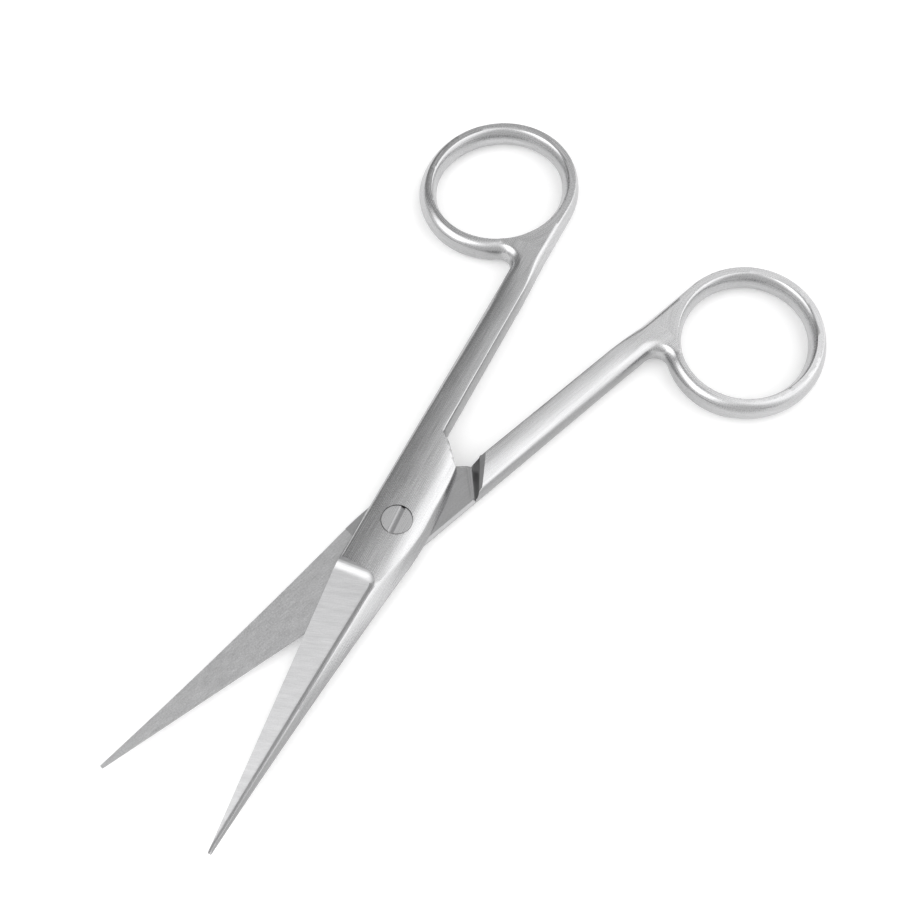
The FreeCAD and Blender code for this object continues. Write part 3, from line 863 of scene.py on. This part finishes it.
def brush_map(mesh):
    """A map in centimetres whose first direction follows the strokes on each face."""
    layer = mesh.uv_layers.new(name="brush")
    names = [m.name for m in mesh.materials]
    corners = read(mesh.loops, "vertex_index", kind=int)
    own = read(mesh.vertices, "co", 3)[corners]
    lean = read(mesh.vertex_normals, "vector", 3)[corners]
    totals = read(mesh.polygons, "loop_total", kind=int)
    finish = np.repeat(read(mesh.polygons, "material_index", kind=int), totals)
    centres = np.repeat(read(mesh.polygons, "center", 3), totals, axis=0)

    u, v = own[:, 0], own[:, 1]
    down = (MIDDLE - np.abs(own[:, 2] - MIDDLE)) * DOWN_SHARE
    down[finish != names.index("forged_steel")] = 0
    along, across = u.copy(), v + np.clip(lean[:, 1] * LEAN_GAIN, -1, 1) * down

    reach = centres[:, :2] - RING_CENTRE
    on_ring = np.linalg.norm(reach, axis=1) < RING_REACH
    on_ring &= (centres[:, 0] > RING_FROM_U) | (centres[:, 1] > RING_FROM_V)
    away = own[:, :2] - RING_CENTRE
    distance = np.linalg.norm(away, axis=1)
    middle_angle = np.arctan2(reach[:, 1], reach[:, 0])
    angle = np.arctan2(away[:, 1], away[:, 0])
    angle = middle_angle + (angle - middle_angle + math.pi) % (2 * math.pi) - math.pi
    outward = (away * lean[:, :2]).sum(1) / distance
    along[on_ring] = angle[on_ring] * RING_STROKE_RADIUS
    across[on_ring] = (distance + np.clip(outward * LEAN_GAIN, -1, 1) * down)[on_ring]

    ground = finish == names.index("facet_steel")
    stroke_u, stroke_v = math.cos(FACET_STROKE), math.sin(FACET_STROKE)
    along[ground] = (u * stroke_u + v * stroke_v)[ground]
    across[ground] = (u * stroke_v - v * stroke_u)[ground]
    layer.data.foreach_set("uv", (np.column_stack([along, across]) * MAP_SCALE).ravel())


print("strokes turn round the ring centre within", RING_REACH, "mm of it")

# %% [markdown]
# ## Upright faces, with painted shade
# A polished side wall close to the table mirrors a darker part of the room than a flat face.
# This is painted in as shade: the attribute "side" carries how upright each corner of a face
# stands, and the steels lower their tone there. On crowned faces the rounded normal is used,
# and on cut faces their own, so that a flat face beside an edge isn't darkened.

# %% How upright a face stands, for the painted shade
# Painted shade on upright faces: none where the normal points straight up, full where its upward
# part is 0.45 or less.
WALL_SHADE_FROM, WALL_SHADE_FULL = 1.0, 0.45
# The painted shade is weaker round the finger ring.
RING_WALL_SHADE_LESS = 0.6


def paint_wall_shade(mesh):
    """Painted shade: 1 where a face stands upright, 0 where it lies flat, and less around the
    finger ring.
    """
    layer = mesh.attributes.new("side", "FLOAT", "CORNER").data
    normals = [corner.vector for corner in mesh.vertex_normals]
    for face in mesh.polygons:
        forged = mesh.materials[face.material_index] == FORGED
        for corner in face.loop_indices:
            place = mesh.loops[corner].vertex_index
            lean = abs(normals[place].z if forged else face.normal.z)
            upright = 1 - smooth(lean, WALL_SHADE_FULL, WALL_SHADE_FROM)
            around_ring = smooth(mesh.vertices[place].co.x, *SIDE_FADES)
            layer[corner].value = upright * (1 - RING_WALL_SHADE_LESS * around_ring)


print("full side tone within", round(math.degrees(math.asin(WALL_SHADE_FULL)), 1), "degrees of upright")

# %% [markdown]
# ## The two halves
# Both halves get the same cuts in the same order, and only the upper one the screw's seat.
# The lower half is turned over round its long axis, so its lap faces up.

# %% Forge, cut and place
SHARP_FROM = math.radians(24)


def forged_half(name, upper):
    """One half, cut, ground, turned to its place and brought to metres."""
    piece = solid(name, blank_vertices, blank_faces, [FORGED])
    for cutter in (lap_cutter, lap_edge_cutter, inner_cutter, plate_cutter, facet_cutter,
                   bore_cutter):
        cut(piece, cutter())
    if upper:
        cut(piece, seat_cutter())
    mesh = piece.data
    brush_map(mesh)
    # Paints shade onto the half's upright faces.
    paint_wall_shade(mesh)
    mesh.shade_smooth()
    mesh.set_sharp_from_angle(angle=SHARP_FROM)
    if upper:
        place = Matrix.Rotation(HALF_OPENING, 4, "Z")
    else:
        place = (Matrix.Rotation(-HALF_OPENING, 4, "Z") @ Matrix.Translation((0, 0, THICK))
                 @ Matrix.Rotation(math.pi, 4, "X"))
    mesh.transform(Matrix.Scale(MM, 4) @ place)
    return piece


upper_forging = forged_half("upper_forging", True)
lower_forging = forged_half("lower_forging", False)

# %% [markdown]
# ## The pivot screw
# A flat-headed slotted screw holds the halves. It is built by rule, with Geometry Nodes: a
# head with a broken rim, a shaft, and a V-shaped slot across, each from its own named size.

# %% The screw by rule
SCREW_SIZES = {"Head radius": 2.5, "Head depth": 1.1, "Shaft radius": 1.5, "Rim": 0.07,
               "Length": THICK, "Slot width": 0.95, "Slot turn": SLOT_TURN}


def screw_tree():
    """Node tree: head, rim and shaft joined, then the slot taken away."""
    tree = bpy.data.node_groups.new("slotted_screw", "GeometryNodeTree")
    for name in SCREW_SIZES:
        tree.interface.new_socket(name, in_out="INPUT", socket_type="NodeSocketFloat")
    tree.interface.new_socket("Material", in_out="INPUT", socket_type="NodeSocketMaterial")
    tree.interface.new_socket("Geometry", in_out="OUTPUT", socket_type="NodeSocketGeometry")
    nodes, links = tree.nodes, tree.links
    given = nodes.new("NodeGroupInput").outputs

    def math_node(kind, first, second):
        node = nodes.new("ShaderNodeMath")
        node.operation = kind
        for socket, value in zip(node.inputs, (first, second)):
            if isinstance(value, (int, float)):
                socket.default_value = value
            else:
                links.new(value, socket)
        return node.outputs[0]

    def lifted(shape, height):
        move = nodes.new("GeometryNodeTransform")
        offset = nodes.new("ShaderNodeCombineXYZ")
        links.new(height, offset.inputs["Z"])
        links.new(shape, move.inputs["Geometry"])
        links.new(offset.outputs["Vector"], move.inputs["Translation"])
        return move

    def drum(radius_low, radius_high, depth):
        cone = nodes.new("GeometryNodeMeshCone")
        cone.inputs["Vertices"].default_value = CIRCLE_COUNT
        links.new(radius_high, cone.inputs["Radius Top"])
        links.new(radius_low, cone.inputs["Radius Bottom"])
        links.new(depth, cone.inputs["Depth"])
        return cone.outputs["Mesh"]

    body_depth = math_node("SUBTRACT", given["Head depth"], given["Rim"])
    head_base = math_node("SUBTRACT", given["Length"], given["Head depth"])
    rim_base = math_node("SUBTRACT", given["Length"], given["Rim"])
    top_radius = math_node("SUBTRACT", given["Head radius"], given["Rim"])
    shaft_depth = math_node("ADD", head_base, 0.02)
    head = lifted(drum(given["Head radius"], given["Head radius"], body_depth), head_base)
    rim = lifted(drum(given["Head radius"], top_radius, given["Rim"]), rim_base)
    shaft = drum(given["Shaft radius"], given["Shaft radius"], shaft_depth)
    parts = [head.outputs["Geometry"], rim.outputs["Geometry"], shaft]
    union = nodes.new("GeometryNodeMeshBoolean")
    union.operation, union.solver = "UNION", "EXACT"
    for part in parts:
        links.new(part, union.inputs["Mesh 2"])
    size = nodes.new("ShaderNodeCombineXYZ")
    side = math_node("MULTIPLY", given["Slot width"], math.sqrt(0.5))
    links.new(math_node("MULTIPLY", given["Head radius"], 3.0), size.inputs["X"])
    links.new(side, size.inputs["Y"])
    links.new(side, size.inputs["Z"])
    blade = nodes.new("GeometryNodeMeshCube")
    links.new(size.outputs["Vector"], blade.inputs["Size"])
    saw = lifted(blade.outputs["Mesh"], given["Length"])
    turn = nodes.new("ShaderNodeCombineXYZ")
    turn.inputs["X"].default_value = math.radians(45)
    links.new(given["Slot turn"], turn.inputs["Z"])
    links.new(turn.outputs["Vector"], saw.inputs["Rotation"])
    slotted = nodes.new("GeometryNodeMeshBoolean")
    slotted.operation, slotted.solver = "DIFFERENCE", "EXACT"
    links.new(union.outputs["Mesh"], slotted.inputs["Mesh 1"])
    links.new(saw.outputs["Geometry"], slotted.inputs["Mesh 2"])
    real = nodes.new("GeometryNodeRealizeInstances")
    links.new(slotted.outputs["Mesh"], real.inputs["Geometry"])
    finish = nodes.new("GeometryNodeSetMaterial")
    links.new(real.outputs["Geometry"], finish.inputs["Geometry"])
    links.new(given["Material"], finish.inputs["Material"])
    links.new(finish.outputs["Geometry"], nodes.new("NodeGroupOutput").inputs["Geometry"])
    return tree


def pivot_screw():
    """The screw as a plain mesh in metres."""
    tree = screw_tree()
    piece = solid("slotted_screw", [], [], [])
    rule = piece.modifiers.new("rule", "NODES")
    rule.node_group = tree
    sockets = {item.name: item.identifier for item in tree.interface.items_tree
               if item.in_out == "INPUT"}
    for name, value in SCREW_SIZES.items():
        rule[sockets[name]] = float(value)
    rule[sockets["Material"]] = SCREW
    bpy.context.view_layer.update()
    mesh = bpy.data.meshes.new_from_object(
        piece.evaluated_get(bpy.context.evaluated_depsgraph_get()))
    piece.modifiers.clear()
    piece.data = mesh
    layer = mesh.uv_layers.new(name="brush")
    c, s = math.cos(HALF_OPENING), math.sin(HALF_OPENING)
    for corner in mesh.loops:
        x, y, z = mesh.vertices[corner.vertex_index].co
        layer.data[corner.index].uv = ((x * c + y * s) * MAP_SCALE,
                                       (y * c - x * s + z) * MAP_SCALE)
    # Paints shade onto the screw's upright faces.
    paint_wall_shade(mesh)
    mesh.shade_smooth()
    mesh.set_sharp_from_angle(angle=SHARP_FROM)
    mesh.transform(Matrix.Scale(MM, 4))
    return piece


screw = pivot_screw()
print("screw:", len(screw.data.polygons), "faces")

# %% [markdown]
# ## Bodies
# The screw is fast in the lower half, and the upper half turns on it.

# %% What each piece stands for
for piece, node, body, slot in ((upper_forging, "upper_half", "upper", "upper_steel"),
                                (lower_forging, "lower_half", "lower", "lower_steel"),
                                (screw, "pivot_screw", "lower", "screw_steel")):
    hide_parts(node)
    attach(piece, body)

# %% [markdown]
# ## The photograph's view and light
# The camera looks down steeply, with the rings away from it. The table is white and evenly
# lit. Steel shows what it mirrors, so the surroundings are an even white room that is
# brightest on the camera's right, darker beyond the rings, and a little brighter behind on
# the left. That draws the dark and white bands along the steel.

# %% Camera
LOOK_AT = Vector((16.85, 2.20, 0.0)) * MM
CAMERA_PLACE = Vector((-81.7, -72.9, 242.4)) * MM
lens = bpy.data.cameras.new("camera")
lens.sensor_width = 36.0
lens.lens = 65.8
lens.clip_start, lens.clip_end = 0.01, 10.0
lens.dof.use_dof = False
camera = bpy.data.objects.new("camera", lens)
bpy.context.scene.collection.objects.link(camera)
camera.location = CAMERA_PLACE
camera.rotation_euler = (LOOK_AT - CAMERA_PLACE).to_track_quat("-Z", "Y").to_euler()
bpy.context.scene.camera = camera

# %% Table
def table_top():
    """A wide pale sheet just under the halves."""
    reach, count = 0.9, 48
    turns = np.linspace(0, 2 * math.pi, count, endpoint=False)
    rim = np.column_stack([np.cos(turns) * reach, np.sin(turns) * reach, np.full(count, -2e-5)])
    piece = solid("table", rim, [tuple(range(count))], [])
    material = bpy.data.materials.new("white_table")
    material.use_nodes = True
    shader = material.node_tree.nodes["Principled BSDF"]
    shader.inputs["Base Color"].default_value = (0.9, 0.9, 0.9, 1)
    shader.inputs["Roughness"].default_value = 0.75
    shader.inputs["Specular IOR Level"].default_value = 0.1
    shader.inputs["Emission Color"].default_value = (1.0, 1.0, 1.0, 1)
    shader.inputs["Emission Strength"].default_value = 0.19
    piece.data.materials.append(material)
    return piece


table = table_top()
print("table", round(table.dimensions.x, 2), "m wide, top at", table.data.vertices[0].co.z, "m")

# %% Light, each lobe as azimuth, elevation, outer and inner angle, and amount
ROOM_LEVEL = 0.72
LOBES = (
    (-50, 40, 58, 30, 0.9),
    (75, 35, 50, 15, -0.45),
    (172, 52, 32, 10, 0.5),
)


def toward(azimuth, elevation):
    """Unit direction from its azimuth and elevation in degrees."""
    a, e = math.radians(azimuth), math.radians(elevation)
    return Vector((math.cos(a) * math.cos(e), math.sin(a) * math.cos(e), math.sin(e)))


def surroundings():
    """A soft white room with one brighter and one darker side."""
    world = bpy.data.worlds.new("studio")
    bpy.context.scene.world = world
    world.use_nodes = True
    nodes, links = world.node_tree.nodes, world.node_tree.links
    place = nodes.new("ShaderNodeTexCoord")
    total = None
    for azimuth, elevation, outer, inner, amount in LOBES:
        turn = nodes.new("ShaderNodeVectorMath")
        turn.operation = "DOT_PRODUCT"
        turn.inputs[1].default_value = toward(azimuth, elevation)
        links.new(place.outputs["Generated"], turn.inputs[0])
        ramp = nodes.new("ShaderNodeMapRange")
        ramp.interpolation_type = "SMOOTHSTEP"
        ramp.inputs["From Min"].default_value = math.cos(math.radians(outer))
        ramp.inputs["From Max"].default_value = math.cos(math.radians(inner))
        ramp.inputs["To Min"].default_value = 0.0
        ramp.inputs["To Max"].default_value = amount
        links.new(turn.outputs["Value"], ramp.inputs["Value"])
        node = nodes.new("ShaderNodeMath")
        node.operation = "ADD"
        if total is None:
            node.inputs[0].default_value = ROOM_LEVEL
        else:
            links.new(total, node.inputs[0])
        links.new(ramp.outputs["Result"], node.inputs[1])
        total = node.outputs["Value"]
    links.new(total, nodes["Background"].inputs["Strength"])
    nodes["Background"].inputs["Color"].default_value = (1.0, 1.0, 1.0, 1.0)


def softbox(name, azimuth, elevation, distance, size, power):
    """A square area light that looks at the middle of the scissors."""
    lamp = bpy.data.lights.new(name, "AREA")
    lamp.shape, lamp.size, lamp.energy = "SQUARE", size, power
    light = bpy.data.objects.new(name, lamp)
    bpy.context.scene.collection.objects.link(light)
    direction = toward(azimuth, elevation)
    light.location = LOOK_AT + direction * distance
    light.rotation_euler = direction.to_track_quat("Z", "Y").to_euler()


surroundings()
softbox("key", 140, 48, 0.8, 0.7, 2.0)
bpy.context.scene.view_settings.view_transform = "Standard"
print("camera at", [round(x, 4) for x in camera.location])
